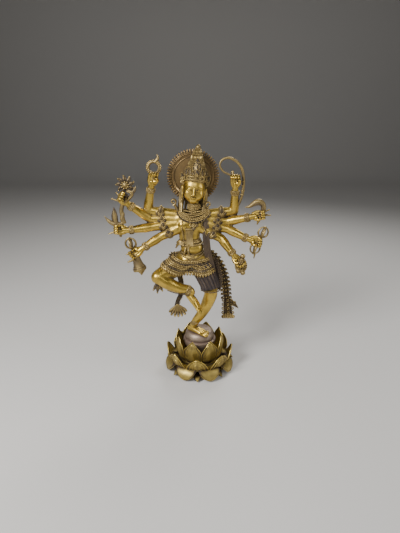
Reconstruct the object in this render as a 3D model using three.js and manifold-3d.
// An eight-armed dancing figure in cast brass on a lotus base, with a round nimbus behind its head.
// Millimetres, +Z up. The origin is the centre of the flat underside of the lotus base.
// The figure faces -Y, and its raised leg and its lotus-bearing hand are on the -X side.
import * as THREE from 'three';
import { mergeVertices } from 'three/addons/utils/BufferGeometryUtils.js';
import Module from 'manifold-3d';

const wasm = await Module();
wasm.setup();

// Driving dimensions
const CROWN_TIP = [-1.5, 5, 450];
const POD_TOP = 84;
const CASTING_GAP = 0.3;
const LIMB_SIDES = 8;
const PETALS = 8;
const NIMBUS_CENTRE = [-12, 21.6, 392];
const NIMBUS_RADIUS = 48.3;
const NIMBUS_THICKNESS = 3;
const NIMBUS_POINTS = 56;
const WRIST_RADIUS = 6.4;
const SHOULDER_RADIUS = 10;

const FRONT = new THREE.Vector3(0, -1, 0);
const UP = new THREE.Vector3(0, 0, 1);
const TURN = 2 * Math.PI;

const vec = (point) => new THREE.Vector3(...point);
const mix = THREE.MathUtils.lerp;

// Shape helpers

// Turns a closed geometry into a solid with its faces pointing out.
function solid(geometry) {
  const bare = geometry.clone();
  bare.deleteAttribute('normal');
  bare.deleteAttribute('uv');
  const merged = mergeVertices(bare, 1e-3);
  const places = merged.getAttribute('position').array;
  const corners = merged.index.array;
  const kept = [];
  let volume = 0;
  for (let i = 0; i < corners.length; i += 3) {
    const [a, b, c] = [corners[i], corners[i + 1], corners[i + 2]];
    if (a !== b && b !== c && c !== a) {
      kept.push(a, b, c);
      const [pa, pb, pc] = [a, b, c].map((corner) => new THREE.Vector3().fromArray(places, 3 * corner));
      volume += pa.dot(pb.cross(pc));
    }
  }
  if (volume < 0) {
    kept.reverse();
  }
  const mesh = new wasm.Mesh({
    numProp: 3,
    vertProperties: new Float32Array(places),
    triVerts: new Uint32Array(kept),
  });
  return new wasm.Manifold(mesh);
}

function join(pieces) {
  return pieces.reduce((whole, piece) => whole.add(piece));
}

// The sum of squared distances from a point to a set of planes, as the ten numbers of a symmetric matrix.
function planeSum(a, b, c, d) {
  return [a * a, a * b, a * c, a * d, b * b, b * c, b * d, c * c, c * d, d * d];
}

function offPlanes(q, { x, y, z }) {
  return q[0] * x * x + q[4] * y * y + q[7] * z * z + q[9]
    + 2 * (q[1] * x * y + q[2] * x * z + q[5] * y * z + q[3] * x + q[6] * y + q[8] * z);
}

// Merges the short and nearly flat edges that joining leaves, while no face moves by more than the error.
function lighten(shape, error) {
  const { vertProperties, triVerts } = shape.getMesh();
  const points = Array.from({ length: vertProperties.length / 3 }, (_, k) => (
    new THREE.Vector3().fromArray(vertProperties, 3 * k)));
  let faces = Array.from({ length: triVerts.length / 3 }, (_, k) => [...triVerts.slice(3 * k, 3 * k + 3)]);
  const normalOf = (a, b, c) => b.clone().sub(a).cross(c.clone().sub(a));
  const sums = points.map(() => new Array(10).fill(0));
  for (const face of faces) {
    const normal = normalOf(...face.map((corner) => points[corner])).normalize();
    const sum = planeSum(...normal.toArray(), -normal.dot(points[face[0]]));
    face.forEach((corner) => sum.forEach((value, k) => { sums[corner][k] += value; }));
  }
  for (let merged = 1; merged > 0;) {
    merged = 0;
    const around = points.map(() => []);
    faces.forEach((face) => face.forEach((corner) => around[corner].push(face)));
    const ringOf = (corner) => new Set(around[corner].flat());
    const edges = [];
    for (const [a, b, c] of faces) {
      for (const [u, v] of [[a, b], [b, c], [c, a]]) {
        if (u < v) {
          const sum = sums[u].map((value, k) => value + sums[v][k]);
          const options = [points[u], points[v], points[u].clone().lerp(points[v], 0.5)];
          const costs = options.map((option) => offPlanes(sum, option));
          const best = costs.indexOf(Math.min(...costs));
          if (costs[best] < error * error) {
            const length = points[u].distanceTo(points[v]);
            edges.push({ u, v, sum, place: options[best], cost: costs[best] + 1e-6 * length });
          }
        }
      }
    }
    edges.sort((one, other) => one.cost - other.cost);
    const busy = new Set();
    const gone = new Set();
    for (const { u, v, sum, place } of edges) {
      const ringU = ringOf(u);
      const ringV = ringOf(v);
      const shared = [...ringU].filter((corner) => ringV.has(corner) && corner !== u && corner !== v);
      const touched = [...ringU, ...ringV];
      const turnsOver = (corner, other) => around[corner].some((face) => {
        if (face.includes(other)) {
          return false;
        }
        const before = normalOf(...face.map((k) => points[k]));
        const after = normalOf(...face.map((k) => (k === corner ? place : points[k])));
        return before.dot(after) < 0.3 * before.length() * after.length() || after.length() < 1e-3;
      });
      const free = shared.length === 2 && !touched.some((corner) => busy.has(corner));
      if (free && !turnsOver(u, v) && !turnsOver(v, u)) {
        touched.forEach((corner) => busy.add(corner));
        around[v].forEach((face) => {
          if (face.includes(u)) {
            gone.add(face);
          } else {
            face[face.indexOf(v)] = u;
          }
        });
        points[u] = place.clone();
        sums[u] = sum;
        merged += 1;
      }
    }
    faces = faces.filter((face) => !gone.has(face));
  }
  const geometry = new THREE.BufferGeometry();
  geometry.setAttribute('position', new THREE.Float32BufferAttribute(points.flatMap((p) => p.toArray()), 3));
  geometry.setIndex(faces.flat());
  return solid(geometry);
}

// A closed skin over a stack of rings that all have the same number of points.
// Each end closes on a tip point.
function skin(rings, firstTip, lastTip) {
  const sides = rings[0].length;
  const points = rings.flat();
  const faces = [];
  for (let row = 0; row + 1 < rings.length; row++) {
    for (let side = 0; side < sides; side++) {
      const a = row * sides + side;
      const b = row * sides + (side + 1) % sides;
      faces.push(a, b, b + sides, a, b + sides, a + sides);
    }
  }
  const first = points.push(firstTip) - 1;
  const last = points.push(lastTip) - 1;
  const lastRow = (rings.length - 1) * sides;
  for (let side = 0; side < sides; side++) {
    const next = (side + 1) % sides;
    faces.push(first, next, side, last, lastRow + side, lastRow + next);
  }
  const geometry = new THREE.BufferGeometry();
  geometry.setAttribute('position', new THREE.Float32BufferAttribute(points.flatMap((p) => p.toArray()), 3));
  geometry.setIndex(faces);
  return solid(geometry);
}

// A limb as a stack of sections. Each station is [point, size], and a size is one radius,
// or [across, deep] where the limb is flattened. An end reach of 1 is rounded, 0 flat and below 0 hollowed.
function limb(stations, { sides = LIMB_SIDES, ends = [1, 1], front = FRONT, section = null } = {}) {
  const places = stations.map(([point]) => vec(point));
  const last = places.length - 1;
  const rings = [];
  const frames = places.map((at, k) => {
    const way = places[Math.min(k + 1, last)].clone().sub(places[Math.max(k - 1, 0)]).normalize();
    const side = new THREE.Vector3().crossVectors(way, front).normalize();
    const through = new THREE.Vector3().crossVectors(side, way).normalize();
    const size = stations[k][1];
    const [across, deep] = Array.isArray(size) ? size : [size, size];
    return { at, way, side, through, across, deep };
  });
  const outline = section ?? Array.from({ length: sides }, (_, k) => {
    const angle = TURN * (k + 0.5) / sides;
    return [Math.cos(angle), Math.sin(angle)];
  });
  const ring = ({ at, way, side, through, across, deep }, shrink, shift) => outline.map(([x, y]) => at.clone()
    .addScaledVector(way, shift)
    .addScaledVector(side, x * across * shrink)
    .addScaledVector(through, y * deep * shrink));
  const reachOf = (frame, part) => Math.min(frame.across, frame.deep) * part;
  const firstReach = -reachOf(frames[0], ends[0]);
  const lastReach = reachOf(frames[last], ends[1]);
  if (ends[0] > 0) {
    rings.push(ring(frames[0], 0.7, firstReach * 0.7));
  }
  rings.push(...frames.map((frame) => ring(frame, 1, 0)));
  if (ends[1] > 0) {
    rings.push(ring(frames[last], 0.7, lastReach * 0.7));
  }
  const tipAt = ({ at, way }, shift) => at.clone().addScaledVector(way, shift);
  return skin(rings, tipAt(frames[0], firstReach), tipAt(frames[last], lastReach));
}

// Adds rounded stations between the given ones.
function smooth(stations, steps) {
  const curve = new THREE.CatmullRomCurve3(stations.map(([point]) => vec(point)), false, 'centripetal');
  const pairs = stations.map(([, size]) => (Array.isArray(size) ? size : [size, size]));
  const count = (stations.length - 1) * steps;
  return Array.from({ length: count + 1 }, (_, i) => {
    const segment = Math.min(Math.floor(i / steps), stations.length - 2);
    const part = i / steps - segment;
    const size = [0, 1].map((k) => mix(pairs[segment][k], pairs[segment + 1][k], part));
    return [curve.getPoint(i / count).toArray(), size];
  });
}

function between(from, to, part) {
  return vec(from).lerp(vec(to), part).toArray();
}

// The stations of a flat band round a limb, whose own radius is given.
function bandStations(from, to, part, length, radius, proud) {
  const span = vec(to).sub(vec(from)).length();
  const edge = length / 2 / span;
  const lip = 0.2 / span;
  return [
    [between(from, to, part - edge - lip), radius],
    [between(from, to, part - edge), radius + proud],
    [between(from, to, part + edge), radius + proud],
    [between(from, to, part + edge + lip), radius],
  ];
}

function ball(at, radii, across = 8, high = 6) {
  const geometry = new THREE.SphereGeometry(1, across, high).rotateX(Math.PI / 2);
  const [rx, ry, rz] = Array.isArray(radii) ? radii : [radii, radii, radii];
  return solid(geometry.scale(rx, ry, rz).translate(...at));
}

// A ring round an axis, such as a loop of wire.
function hoop(at, axis, radius, wire, { around = 12, section = 4 } = {}) {
  const geometry = new THREE.TorusGeometry(radius, wire, section, around);
  const turn = new THREE.Quaternion().setFromUnitVectors(UP, vec(axis).normalize());
  return solid(geometry.applyQuaternion(turn).translate(...at));
}

// Reads a value at t, from 0 to 1, out of a short list of evenly spaced ones.
function along(values, t) {
  const last = values.length - 1;
  const place = t * last;
  const index = Math.min(Math.max(Math.floor(place), 0), last - 1);
  return mix(values[index], values[index + 1], place - index);
}

// Lotus base
// Four rings of eight petals round a foot, and a two-tier seed pod in the middle that the figure stands on.

const FOOT_RADIUS = 52;
const FOOT_HEIGHT = 5;
const POD_TIER_RADIUS = 33;
const POD_CUSHION_RADIUS = 28.5;
const POD_SIDES = 20;

// A ring of level points. The radius and height may depend on the angle from the front.
function levelRing(count, at) {
  return Array.from({ length: count }, (_, k) => {
    const angle = TURN * k / count;
    const [radius, height] = at(angle);
    return new THREE.Vector3(radius * Math.sin(angle), -radius * Math.cos(angle), height);
  });
}

// How far across its petal an angle lies: 0 at the middle and 1 at the notch between two petals.
function acrossPetal(angle, turn) {
  const place = (angle / TURN * PETALS - turn + PETALS) % 1;
  return Math.abs(place - Math.round(place)) * 2;
}

// A cup of upright petals: rows from the root to the tips outside, then back down inside.
function petalCup({ turn, perPetal, radius, height, notch, cup, thick, sharp }) {
  const count = PETALS * perPetal;
  const rows = radius.map((_, j) => j / (radius.length - 1));
  const at = (t, inset) => (angle) => {
    const s = acrossPetal(angle, turn);
    const top = mix(height.at(-1), notch, s ** sharp);
    const rise = height.at(-1) - height[0];
    const reach = (top - height[0]) / rise;
    return [
      along(radius, t * reach) - cup * s * s * t - inset,
      mix(height[0], top, (along(height, t) - height[0]) / rise),
    ];
  };
  const outside = rows.map((t) => levelRing(count, at(t, 0)));
  const inside = [rows.at(-1), rows.at(-2), rows[1]].map((t) => levelRing(count, at(t, thick)));
  const floor = inside.at(-1)[0].z;
  return skin([...outside, ...inside], new THREE.Vector3(0, 0, height[0]), new THREE.Vector3(0, 0, floor));
}

// A skirt of drooping petals, with its own underside.
function petalSkirt({ turn, perPetal, radius, height, notchRadius, sag, underRadius, underHeight }) {
  const count = PETALS * perPetal;
  const rows = radius.map((_, j) => j / (radius.length - 1));
  const rings = rows.map((t) => levelRing(count, (angle) => {
    const s = acrossPetal(angle, turn);
    const outer = mix(radius.at(-1), notchRadius, s * s);
    const reach = mix(radius[0], outer, (along(radius, t) - radius[0]) / (radius.at(-1) - radius[0]));
    return [reach, along(height, t) - sag * s * s * (t > 0 ? 1 : 0)];
  }));
  const under = levelRing(count, () => [underRadius, underHeight]);
  return skin([...rings, under], new THREE.Vector3(0, 0, height[0]), new THREE.Vector3(0, 0, underHeight));
}

const INNER_PETALS = { turn: 0.5, perPetal: 4, radius: [40, 48, 49, 46], height: [22, 42, 60, 77], notch: 56,
  cup: 3, thick: 3, sharp: 1.4 };
const MIDDLE_PETALS = { turn: 0, perPetal: 6, radius: [43, 57, 65, 67], height: [14, 22, 36, 48], notch: 30,
  cup: 5, thick: 3.4, sharp: 2.5 };
const LOWER_PETALS = { turn: 0.5, perPetal: 6, radius: [42, 58, 67, 71], height: [23, 20.5, 14, 5],
  notchRadius: 58, sag: 3.5, underRadius: 50, underHeight: 3.5 };
const POINT_ROOT = 50;
const POINT_TIP = 69;

function lotusBase() {
  const profile = [
    [FOOT_RADIUS, 0],
    [FOOT_RADIUS, FOOT_HEIGHT],
    [44, 10],
    [44, 26],
    [27, 30],
    [27, 48],
    [POD_TIER_RADIUS, 57],
    [POD_TIER_RADIUS, 65],
    [POD_CUSHION_RADIUS, 67.5],
    [POD_CUSHION_RADIUS + 1, 73],
    [POD_CUSHION_RADIUS - 1.5, 80],
    [22, POD_TOP],
  ];
  const rings = profile.map((level) => levelRing(POD_SIDES, () => level));
  const core = skin(rings, new THREE.Vector3(0, 0, 0), new THREE.Vector3(0, 0, POD_TOP));
  const points = Array.from({ length: PETALS }, (_, k) => {
    const angle = TURN * k / PETALS;
    const at = (radius, height) => [radius * Math.sin(angle), -radius * Math.cos(angle), height];
    return limb([[at(POINT_ROOT, 7), [11, 4]], [at(60, 6), [8, 3]], [at(POINT_TIP, 3.5), [1.5, 1]]],
      { sides: 4, ends: [0, 1], front: UP });
  });
  return join([core, petalCup(INNER_PETALS), petalCup(MIDDLE_PETALS), petalSkirt(LOWER_PETALS), ...points]);
}

// Trunk, from the hem of the skirt up to the throat, with the collar, belt and hip band carved on it
// Each level is [centre x, centre y, height, half-width, half-depth, dip of the front, flutes].

const TRUNK_SIDES = 16;
const TRUNK = [
  [24, -15, 184, 15, 14, 0, 0],
  [15, -12, 200, 23, 19, 0, 0],
  [0, -8, 211, 31, 23, 3, 0],
  [-8, -5, 217, 35, 22, 7, 0],
  [-9.5, -5, 218, 40, 28, 7, 3],
  [-14, -3, 229, 42, 29, 5, 3],
  [-16, -2, 239, 38, 26, 3, 1.2],
  [-16, -1, 241, 35.5, 24, 3, 0],
  [-16, -1, 243.5, 37, 25.5, 3, 0],
  [-16, -1, 246, 32, 22.5, 3, 0],
  [-16, -1, 249, 33, 24, 3, 0],
  [-16, -1, 252, 27.5, 20.5, 3, 0],
  [-16, -1.5, 261, 24.5, 20.5, 0, 0],
  [-18, 0, 269, 21.5, 17.5, -1, 0],
  [-19, 0, 271.5, 24, 19.5, -1, 0],
  [-19.5, 0, 276, 23.5, 19, 0, 0],
  [-20, 0, 277.5, 20.5, 16, 0, 0],
  [-19.5, 0, 290, 23.5, 17.5, 0, 0],
  [-18, -0.5, 302, 28, 20, 1, 0],
  [-15.5, -1, 312, 29.5, 20, 4, 0],
  [-15, -1.5, 314, 32.5, 25, 6, 3],
  [-14, -1, 321, 31, 23.5, 5, 3],
  [-13, -1, 323, 27.5, 19.5, 5, 0],
  [-12, -1, 326.5, 27, 19, 4.5, 0],
  [-11.5, -1, 330, 22, 16, 4, 0],
  [-11, -1, 335, 17.5, 13.5, 2, 0],
  [-10, -1, 337.5, 11, 10.5, 1, 0],
  [-10, -1, 352, 9.5, 9.5, 0, 0],
];

function trunk() {
  const ring = ([x, y, z, wide, deep, dip, flutes]) => Array.from({ length: TRUNK_SIDES }, (_, k) => {
    const angle = TURN * k / TRUNK_SIDES;
    const proud = k % 2 ? -flutes : 0;
    return new THREE.Vector3(
      x + (wide + proud) * Math.sin(angle),
      y - (deep + proud) * Math.cos(angle),
      z - dip * Math.cos(angle),
    );
  });
  const tipAt = ([x, y, z]) => new THREE.Vector3(x, y, z);
  return join([
    skin(TRUNK.map(ring), tipAt(TRUNK[0]), tipAt(TRUNK.at(-1))),
    ball([-13, -13, 261], [13, 9, 8.5], 8, 6),
    ball([-31, -12, 303], [10, 8, 8.5], 8, 5),
    ball([-7, -12, 303], [10, 8, 8.5], 8, 5),
  ]);
}

// Head, ears, tall tiered crown and diadem

const HEAD_CENTRE = [-9.5, -1, 373];
const CROWN_FOOT = [-7.5, -1, 386];
const HEAD_LEAN = Math.atan2(CROWN_TIP[0] - CROWN_FOOT[0], CROWN_TIP[2] - CROWN_FOOT[2]);
const HEAD_SIDES = 10;

// Half-widths of the crown's tiers, at parts of its height.
const CROWN_TIERS = [
  [0, 20.5], [0.02, 23.5], [0.13, 22.5], [0.15, 19], [0.28, 18.5], [0.3, 16], [0.42, 15], [0.44, 12.5],
  [0.57, 11.5], [0.59, 9.5], [0.74, 8], [0.86, 5.6], [0.97, 1.4],
];
const CROWN_DEPTH = 0.8;

function headPoint(x, y, z) {
  return new THREE.Vector3(x, y, z).applyAxisAngle(new THREE.Vector3(0, 1, 0), HEAD_LEAN)
    .add(vec(HEAD_CENTRE)).toArray();
}

function head() {
  const skull = limb([
    [headPoint(0, -6, -22), [8.5, 8]],
    [headPoint(0, -3, -14), [16, 14]],
    [headPoint(0, -1, 0), [20.5, 18.5]],
    [headPoint(0, 0, 14), [20.5, 18.5]],
  ], { sides: HEAD_SIDES });
  const face = [
    limb([[headPoint(0, -17.5, 6), 1.8], [headPoint(0, -21.5, -4), [3.6, 2.6]]], { sides: 5 }),
    ball(headPoint(0, -17, -11), [5, 3, 2.4], 6, 4),
    ...[-1, 1].map((side) => ball(headPoint(side * 8, -15.5, 2.5), [5.4, 3, 2.6], 6, 4)),
  ];
  const ears = [-1, 1].flatMap((side) => [
    limb([
      [headPoint(side * 21, 0, 6), [2.6, 4.6]],
      [headPoint(side * 22, -1, -13), [3, 3.4]],
    ], { sides: 5 }),
    limb([
      [headPoint(side * 24.5, -4, 9), [3.6, 3]],
      [headPoint(side * 24.5, -4, 15), [4, 3]],
      [headPoint(side * 25.5, -3, 26), [0.8, 0.8]],
    ], { sides: 5 }),
  ]);
  const nimbusFace = NIMBUS_CENTRE[1] - NIMBUS_THICKNESS / 2;
  const boss = limb([[[HEAD_CENTRE[0], 10, 384], 7], [[HEAD_CENTRE[0], nimbusFace - CASTING_GAP, 384], 7]],
    { sides: 6, ends: [0, 0], front: UP });
  return join([skull, ...face, ...ears, boss, crown()]);
}

function crown() {
  const stations = CROWN_TIERS.map(([part, radius]) => [
    between(CROWN_FOOT, CROWN_TIP, part), [radius, radius * CROWN_DEPTH],
  ]);
  const crest = (x, y, wide, high) => limb([
    [headPoint(x, y, 13), [wide, 3]],
    [headPoint(x * 0.97, y * 0.97, 13 + high * 0.4), [wide * 0.8, 2.6]],
    [headPoint(x * 0.85, y * 0.75, 13 + high), 0.7],
  ], { sides: 4, ends: [0, 1] });
  return join([
    limb(stations, { sides: HEAD_SIDES }),
    crest(0, -18.5, 8.5, 27),
    crest(-14.5, -14, 6, 18),
    crest(14.5, -14, 6, 18),
  ]);
}

// Hair that falls from behind the ears, and a curled ornament on each shoulder

function lock(side) {
  const root = headPoint(side * 21, 3, -4);
  const low = side < 0 ? [-37, -1, 334] : [9, -1, 332];
  const tip = side < 0 ? [-47.5, 0, 347.5] : [16, 0, 341.5];
  const mid = [mix(root[0], low[0], 0.5) + side * 2, 0, 352];
  return join([
    limb([[root, 3.5], [mid, 4], [low, [5.5, 4]], [[low[0], 0, 327], 3]], { sides: 5 }),
    limb([[[low[0], 0, 330], 3], [[low[0] + side * 6, 0, 336], [4.5, 3]], [tip, [4, 3]]], { sides: 5 }),
  ]);
}

// Arms: each is a shoulder, an elbow, a wrist and a palm, with the way that the fingers point and curl.

const ARMS = [
  { shoulder: [-38, 4, 322], elbow: [-97, 6, 331], wrist: [-88, -2, 373], palm: [-84.5, -4, 387],
    fingers: [0.15, -0.1, 1], face: [0.2, -1, 0], curl: 0.7 },
  { shoulder: [-38, 2, 315], elbow: [-92, 3, 315], wrist: [-127, -10, 343], palm: [-136, -13, 353],
    fingers: [-0.7, -0.3, 0.6], face: [0.3, -0.8, 0.5], curl: 0.9 },
  { shoulder: [-37, 0, 308], elbow: [-89, -3, 301], wrist: [-129, -14, 298], palm: [-143, -16, 299],
    fingers: [-1, -0.2, 0.05], face: [0, -1, 0.3], curl: 0.95 },
  { shoulder: [-34, -3, 301], elbow: [-74, -8, 283], wrist: [-102, -20, 267], palm: [-115, -24, 259],
    fingers: [-0.8, -0.2, -0.5], face: [-0.2, -1, 0.2], curl: 0.8 },
  { shoulder: [8, 4, 322], elbow: [65, 6, 330], wrist: [65, -2, 368], palm: [65, -5, 384],
    fingers: [0, -0.1, 1], face: [-0.2, -1, 0], curl: 0.8 },
  { shoulder: [8, 2, 315], elbow: [52, 3, 310], wrist: [91, -10, 321], palm: [105, -12, 325],
    fingers: [1, -0.1, 0.15], face: [0, -1, 0.2], curl: 0.9 },
  { shoulder: [6, 0, 308], elbow: [53, -3, 297], wrist: [88, -14, 282], palm: [102, -16, 279],
    fingers: [1, -0.2, -0.15], face: [0, -1, -0.1], curl: 0.9 },
  { shoulder: [2, -3, 301], elbow: [41, -8, 280], wrist: [62, -20, 254], palm: [70, -24, 244],
    fingers: [0.6, -0.3, -0.8], face: [0.4, -1, 0.3], curl: 0.7 },
];
const ARM_SIDES = 6;
const UPPER_ARM_RADIUS = 8.8;
const ELBOW_RADIUS = 8.4;
const FOREARM_RADIUS = 8.6;
const ARMLET = { part: 0.6, length: 7, proud: 2.2 };
const BRACELET = { part: 0.93, length: 6, proud: 2 };

function arm({ shoulder, elbow, wrist, palm, fingers, face, curl }) {
  return join([
    limb([
      [shoulder, SHOULDER_RADIUS],
      ...bandStations(shoulder, elbow, ARMLET.part, ARMLET.length, UPPER_ARM_RADIUS, ARMLET.proud),
      [elbow, ELBOW_RADIUS],
    ], { sides: ARM_SIDES, ends: [0, 1] }),
    limb([
      [elbow, ELBOW_RADIUS],
      [between(elbow, wrist, 0.35), FOREARM_RADIUS],
      ...bandStations(elbow, wrist, BRACELET.part, BRACELET.length, WRIST_RADIUS, BRACELET.proud),
      [palm, [5.5, 4]],
    ], { sides: ARM_SIDES }),
    hand(palm, fingers, face, curl),
  ]);
}

// The section across four fingers side by side, rounded in front, with a groove between each two.
const FINGER_SECTION = [
  [1, 0], [0.85, 0.95], [0.5, 0.45], [0.3, 1], [0, 0.5], [-0.3, 1], [-0.5, 0.45], [-0.85, 0.95], [-1, 0],
  [-0.6, -0.8], [0.6, -0.8],
];

// A hand from the wrist to the fingertips, which curl towards the palm, and a thumb.
function hand(palm, fingers, face, curl) {
  const way = vec(fingers).normalize();
  const across = new THREE.Vector3().crossVectors(way, vec(face)).normalize();
  const inward = new THREE.Vector3().crossVectors(across, way).normalize();
  const bend = (angle) => way.clone().multiplyScalar(Math.cos(angle))
    .addScaledVector(inward, Math.sin(angle));
  const knuckles = vec(palm).addScaledVector(way, 7);
  const joints = knuckles.clone().addScaledVector(bend(curl * 0.8), 8);
  const tips = joints.clone().addScaledVector(bend(curl * 2.6), 9);
  const fist = limb([
    [vec(palm).addScaledVector(way, -7).toArray(), [5.5, 4]],
    [palm, [7.5, 4.2]],
    [knuckles.toArray(), [8.4, 4]],
    [joints.toArray(), [8.2, 3.4]],
    [tips.toArray(), [7, 2.4]],
  ], { section: FINGER_SECTION, ends: [0, 0.5], front: across.clone().cross(way) });
  const place = (a, b, c) => vec(palm).addScaledVector(way, a).addScaledVector(across, b)
    .addScaledVector(inward, c).toArray();
  return fist.add(limb([[place(-3, 6, 0), 2.8], [place(5, 8, 5), 2.4], [place(8, 3, 8), 1.8]], { sides: 4 }));
}

// What the hands hold

// A ring rosary with a flame point, in the topmost hand on the -X side.
function ringRosary() {
  return join([
    hoop([-81.5, -5, 410.5], [0, 1, 0], 10.2, 3.7, { around: 14, section: 5 }),
    limb([[[-76, -5, 417], [4.4, 3.4]], [[-74, -5, 425], [3.4, 2.6]], [[-74.5, -5, 433], 0.7]], { sides: 5 }),
  ]);
}

// An open lotus flower whose stem curls down through the hand.
function lotusFlower() {
  const centre = new THREE.Vector3(-132.5, -14, 381);
  const petals = 8;
  const ring = (shift, inner, outer) => Array.from({ length: 2 * petals }, (_, k) => {
    const angle = TURN * (k + 0.5) / (2 * petals);
    const radius = k % 2 ? inner : outer;
    return centre.clone().add(new THREE.Vector3(radius * Math.cos(angle), shift, radius * Math.sin(angle)));
  });
  const flower = skin(
    [ring(5, 4, 4), ring(1, 10, 12), ring(-1.5, 13, 17), ring(-3, 9, 12), ring(-4, 5, 5)],
    centre.clone().setY(-8),
    centre.clone().setY(-20),
  );
  return flower.add(limb([
    [[-127, -13, 374], 4.5], [[-121.5, -14, 367], 3.6], [[-127, -14, 358], 3.6], [[-137, -15, 350], 4],
    [[-141.5, -15, 338], 4], [[-141, -15.5, 325], 4.2], [[-138, -16, 311], 4.6],
  ], { sides: 6 }));
}

// A three-pronged flame that touches the lotus stem.
function trident() {
  return join([
    limb([
      [[-138, -16, 314], 4.4], [[-145, -16, 310], 5.2], [[-153, -16, 310], 5.4], [[-164, -16, 314], 4.8],
      [[-174, -16, 324], 0.8],
    ], { sides: 6 }),
    limb([[[-152, -16, 310], 5], [[-155, -16, 324], 4.6], [[-155, -16, 341], 0.8]], { sides: 5 }),
    limb([[[-149, -16.5, 309], 3.2], [[-146, -17, 288], 2.4]], { sides: 5 }),
    limb([[[-148, -17, 298], 2.2], [[-168, -17, 291.5], 1.8]], { sides: 4 }),
  ]);
}

// An open ring with a prong up its middle, as at the end of a ritual sceptre.
function prongedRing(at, axis, radius, wire) {
  const up = vec(axis).normalize();
  const side = new THREE.Vector3().crossVectors(up, FRONT).normalize();
  const facing = new THREE.Vector3().crossVectors(up, side).normalize();
  const end = (part) => vec(at).addScaledVector(up, part * radius).toArray();
  return join([
    hoop(at, facing.toArray(), radius, wire, { around: 9 }),
    limb([[end(-1), 1.2], [end(-0.1), [1.8, 5]], [end(1), 1.2]], { sides: 4 }),
  ]);
}

const BELL_AXIS = [9, -1.5, -33];

function bell() {
  const start = vec([-121, -24, 257]);
  const at = (part) => start.clone().addScaledVector(vec(BELL_AXIS), part).toArray();
  return join([
    limb([[at(0), 4], [at(0.16), 6.8], [at(0.5), 8.4], [at(0.84), 10.2], [at(1), 12.6]],
      { sides: 10, ends: [0, -0.2] }),
    prongedRing([-127, -25, 275.5], [-0.3, 0, 1], 9.4, 1.8),
    limb([[[-124, -24, 268], 3.2], [[-120, -24, 255], 4]], { sides: 5 }),
  ]);
}

// A noose of thick wire that leaves the hand, loops over it and runs down beside the forearm.
const NOOSE = [
  [[62, -7, 395], 2.2], [[52, -7, 399], 1.9], [[41, -6, 405.5], 1.9], [[36.5, -5, 417], 1.9],
  [[46, -5, 426.5], 2.3], [[61, -5, 424], 2.6], [[73.5, -5, 412], 2.7], [[79, -5, 393], 2.7],
  [[79.5, -4, 376], 2.6], [[76, -2, 354], 2.5], [[68, 2, 334], 2.4],
];

function noose() {
  return join([
    limb(smooth(NOOSE, 2), { sides: 4 }),
    limb([[[61, -6, 390], 2], [[59, -6, 404], 2.6]], { sides: 5 }),
  ]);
}

// A curved horn over the hand, with two pins at its root.
function horn() {
  return join([
    limb(smooth([
      [[83, -13, 341], 1], [[93, -13, 344], 4], [[103, -13, 350], 5], [[111.5, -13, 349.5], 5.2],
      [[116.5, -13, 341], 4.8], [[113, -13, 328], 4],
    ], 2), { sides: 6 }),
    limb([[[112, -13, 331], 1.9], [[127, -13, 336], 1.6]], { sides: 4 }),
    limb([[[110, -13, 323], 1.9], [[130, -13, 325.5], 1.5]], { sides: 4 }),
  ]);
}

// A double sceptre with open rings at both ends.
const SCEPTRE_TOP = [118, -17, 294.5];
const SCEPTRE_FOOT = [104, -17, 263];

function sceptre() {
  const axis = vec(SCEPTRE_TOP).sub(vec(SCEPTRE_FOOT)).toArray();
  return join([
    prongedRing(SCEPTRE_TOP, axis, 8.4, 1.8),
    prongedRing(SCEPTRE_FOOT, axis, 8, 1.8),
    limb([[between(SCEPTRE_FOOT, SCEPTRE_TOP, 0.2), 3.2], [between(SCEPTRE_FOOT, SCEPTRE_TOP, 0.8), 3.2]],
      { sides: 5 }),
  ]);
}

// A round bowl on the lowest hand on the +X side, with a knob above it and three small balls in front.
function bowl() {
  return join([
    ball([78, -25, 232], [11.5, 10, 14], 8, 6),
    ball([81, -25, 249], [5, 4.6, 5.6], 6, 5),
    ball([73, -33, 224], 4, 5, 4),
    ball([81, -34, 221], 4, 5, 4),
  ]);
}

// Legs

const LEG_SIDES = 9;
const STANDING_KNEE = [22, -24, 180];
const STANDING_SHIN = [5, -17, 129];
const STANDING_ANKLE = [-10, -10, 103];
const RAISED_KNEE = [-77, -44, 217];
const RAISED_SHIN = [-38, -41, 193];
const RAISED_ANKLE = [-17, -38, 186];
const ANKLET = { length: 5, proud: 2.2 };

function legs() {
  const standing = limb([
    [[2, -6, 224], 18],
    [[15, -16, 203], 16.5],
    [STANDING_KNEE, 13],
    [[16, -21, 154], 11.5],
    [STANDING_SHIN, 10],
    ...bandStations(STANDING_SHIN, STANDING_ANKLE, 0.8, ANKLET.length, 8, ANKLET.proud),
    [[-13, -8, 92], 7.6],
  ], { sides: LEG_SIDES, ends: [0, 0.5] });
  const raisedThigh = limb([
    [[-30, -4, 230], 20],
    [[-56, -27, 223], 17],
    [RAISED_KNEE, 11.5],
  ], { sides: LEG_SIDES, ends: [0, 1] });
  const raisedShin = limb([
    [RAISED_KNEE, 11.5],
    [[-60, -44, 205], 12.5],
    [RAISED_SHIN, 10],
    ...bandStations(RAISED_SHIN, RAISED_ANKLE, 0.75, ANKLET.length, 7.8, ANKLET.proud),
    [[-15, -37, 178], 7],
  ], { sides: LEG_SIDES, ends: [1, 0.5] });
  return join([
    standing,
    raisedThigh,
    raisedShin,
    foot([-19, -4, 87], [16, -30, 86.5], [0, 0, 1]),
    foot([-21, -35, 174], [4, -45, 146], [0.75, -0.3, 0.6]),
  ]);
}

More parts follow.
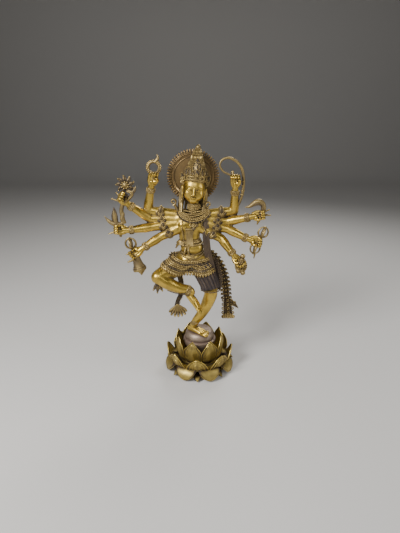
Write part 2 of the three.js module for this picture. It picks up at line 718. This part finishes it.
// A foot from heel to toes, whose front edge is notched between the toes. The instep faces along top.
const TOE_SECTION = [
  [1, -0.6], [1, 0.3], [0.7, 0.8], [0.55, 0.3], [0.3, 0.9], [0.1, 0.3], [-0.15, 0.9], [-0.4, 0.3], [-0.7, 1],
  [-1, 0.4], [-1, -0.6],
];

function foot(heel, toes, top) {
  const way = vec(toes).sub(vec(heel)).normalize();
  const across = new THREE.Vector3().crossVectors(way, vec(top)).normalize();
  const lift = new THREE.Vector3().crossVectors(across, way).normalize();
  const place = (part, up) => vec(heel).lerp(vec(toes), part).addScaledVector(lift, up).toArray();
  return limb([
    [place(-0.02, 0), [5.6, 5.4]],
    [place(0.45, 0.6), [7.4, 6]],
    [place(0.78, -0.6), [9.2, 4.6]],
    [place(1.02, -1.4), [8.6, 3]],
  ], { section: TOE_SECTION, ends: [0.6, 0.4], front: lift });
}

// Knots and folds of the hip cloth, and the shawl that hangs down the +X side of the trunk

// Narrows every other station, which gives a band a row of scallops along its edges.
function scalloped(stations, depth) {
  return stations.map(([point, [across, deep]], k) => [point, [across - (k % 2 ? 0 : depth), deep]]);
}

function drapery() {
  return join([
    limb([[[-42, -8, 236], [7, 5]], [[-51, -6, 246], [7.5, 6]], [[-55, -2, 250], [5, 4]]], { sides: 6 }),
    limb([[[16, -4, 238], [6, 4]], [[23, -3, 249], [5, 4]]], { sides: 6 }),
    limb([[[-38, -12, 230], [12, 10]], [[-56, -25, 230], [11, 10]], [[-69, -33, 225], [6, 5]]], { sides: 6 }),
    limb([
      [[8, -4, 318], [5.5, 5]], [[10, -3, 296], [6, 4.5]], [[11, -2, 272], [6, 4.5]],
      [[16, -4, 252], [6.5, 5]],
      [[24, -8, 224], [6, 5]], [[25, -14, 188], [4.5, 4]],
    ], { sides: 6 }),
    limb(scalloped(smooth([
      [[27, 0, 236], [6, 4]], [[34, -5, 218], [6, 4]], [[38, -7, 198], [6, 4]], [[35, -8, 180], [5, 4]],
    ], 4), 2.4), { sides: 5 }),
    limb([[[-30, -16, 277], [4.5, 4]], [[-42, -8, 274], [4, 4]]], { sides: 5 }),
  ]);
}

// The section of a tassel: a flat bundle of threads with a rib along each.
const TASSEL_RIBS = 5;
const TASSEL_SECTION = [0, Math.PI].flatMap((face) => Array.from({ length: 2 * TASSEL_RIBS }, (_, k) => {
  const angle = face + Math.PI * (k + 0.5) / (2 * TASSEL_RIBS);
  const depth = k % 2 ? 0.55 : 1;
  return [Math.cos(angle), Math.sin(angle) * depth];
}));

function tassel(knot, foot, halfWidth) {
  return limb([
    [knot, [4.5, 3.5]],
    [between(knot, foot, 0.3), [halfWidth * 0.6, 4]],
    [between(knot, foot, 0.7), [halfWidth, 4.5]],
    [foot, [halfWidth * 0.72, 4]],
  ], { section: TASSEL_SECTION, ends: [0.5, 1.4] });
}

function sashes() {
  return join([
    limb([
      [[14, 12, 248], [6, 4]], [[33, 12, 230], [7.5, 4]], [[46, 12, 203], [8, 4]], [[52, 12, 176], [8, 3.6]],
      [[55, 13, 148], [4, 3]],
    ], { sides: 6 }),
    tassel([56, 13, 150], [59, 10, 105], 12.5),
    limb([[[58, 12, 144], [6, 3]], [[72, 11, 134], [4, 3]], [[79, 10, 127], [1, 1]]], { sides: 5 }),
    limb([
      [[-38, 12, 242], [6, 4]], [[-42, 12, 212], [6, 4]], [[-36, 6, 184], [4.5, 3.5]],
      [[-37, 1, 163], [4, 3.4]], [[-44, 0, 149], [4, 3.4]], [[-46, 0, 135], [4, 3.4]],
    ], { sides: 6 }),
    tassel([-46, 0, 138], [-40.5, 0, 112], 18.5),
    limb([[[-82, -43, 210], [5, 4]], [[-84, -42, 196], [6, 4.5]], [[-80, -41, 182], [4, 3]]], { sides: 5 }),
    limb([[[-72, -43, 208], [5, 4]], [[-70, -43, 196], [4, 3.5]], [[-69, -42, 187], [2.4, 2]]], { sides: 5 }),
  ]);
}

function figure() {
  const flesh = [legs(), ...ARMS.map(arm)].map((part) => lighten(part, FLESH_MERGE_ERROR));
  const dress = [trunk(), head(), lock(-1), lock(1), drapery(), sashes()];
  const held = [ringRosary(), lotusFlower(), trident(), bell(), noose(), horn(), sceptre(), bowl()];
  const underfoot = new THREE.BoxGeometry(80, 80, 20).translate(0, 0, POD_TOP + CASTING_GAP - 10);
  return join([...flesh, ...dress, ...held]).subtract(solid(underfoot));
}

// Nimbus: a flat disc with a smooth hollowed middle, a raised band and a rim of small points

function nimbus() {
  const half = NIMBUS_THICKNESS / 2;
  const centre = vec(NIMBUS_CENTRE);
  const ring = (part, notch, y) => Array.from({ length: 2 * NIMBUS_POINTS }, (_, k) => {
    const angle = Math.PI * k / NIMBUS_POINTS;
    const radius = NIMBUS_RADIUS * part * (k % 2 ? notch : 1);
    return centre.clone().add(new THREE.Vector3(radius * Math.cos(angle), y, radius * Math.sin(angle)));
  });
  return skin(
    [ring(1, 0.92, half * 0.3), ring(0.74, 1, -half), ring(0.68, 1, -half * 0.4)],
    centre.clone().setY(centre.y + half),
    centre.clone().setY(centre.y - half * 0.4),
  );
}

// Assembly

const FLESH_MERGE_ERROR = 1.2;
const MERGE_ERROR = 0.85;
const NIMBUS_MERGE_ERROR = 0.3;

function piece(name, shape, colour, roughness, metalness) {
  const { vertProperties, triVerts } = shape.getMesh();
  const geometry = new THREE.BufferGeometry();
  geometry.setAttribute('position', new THREE.BufferAttribute(new Float32Array(vertProperties), 3));
  geometry.setIndex(new THREE.BufferAttribute(new Uint32Array(triVerts), 1));
  const material = new THREE.MeshStandardMaterial({ color: colour, roughness, metalness });
  const mesh = new THREE.Mesh(geometry, material);
  mesh.name = name;
  return mesh;
}

const statue = new THREE.Group();
statue.add(piece('lotus_base', lighten(lotusBase(), MERGE_ERROR), 0x9a7a34, 0.38, 0.9));
statue.add(piece('figure', lighten(figure(), MERGE_ERROR), 0xb08a2e, 0.32, 0.95));
statue.add(piece('nimbus', lighten(nimbus(), NIMBUS_MERGE_ERROR), 0x6e5836, 0.5, 0.85));

export default statue;
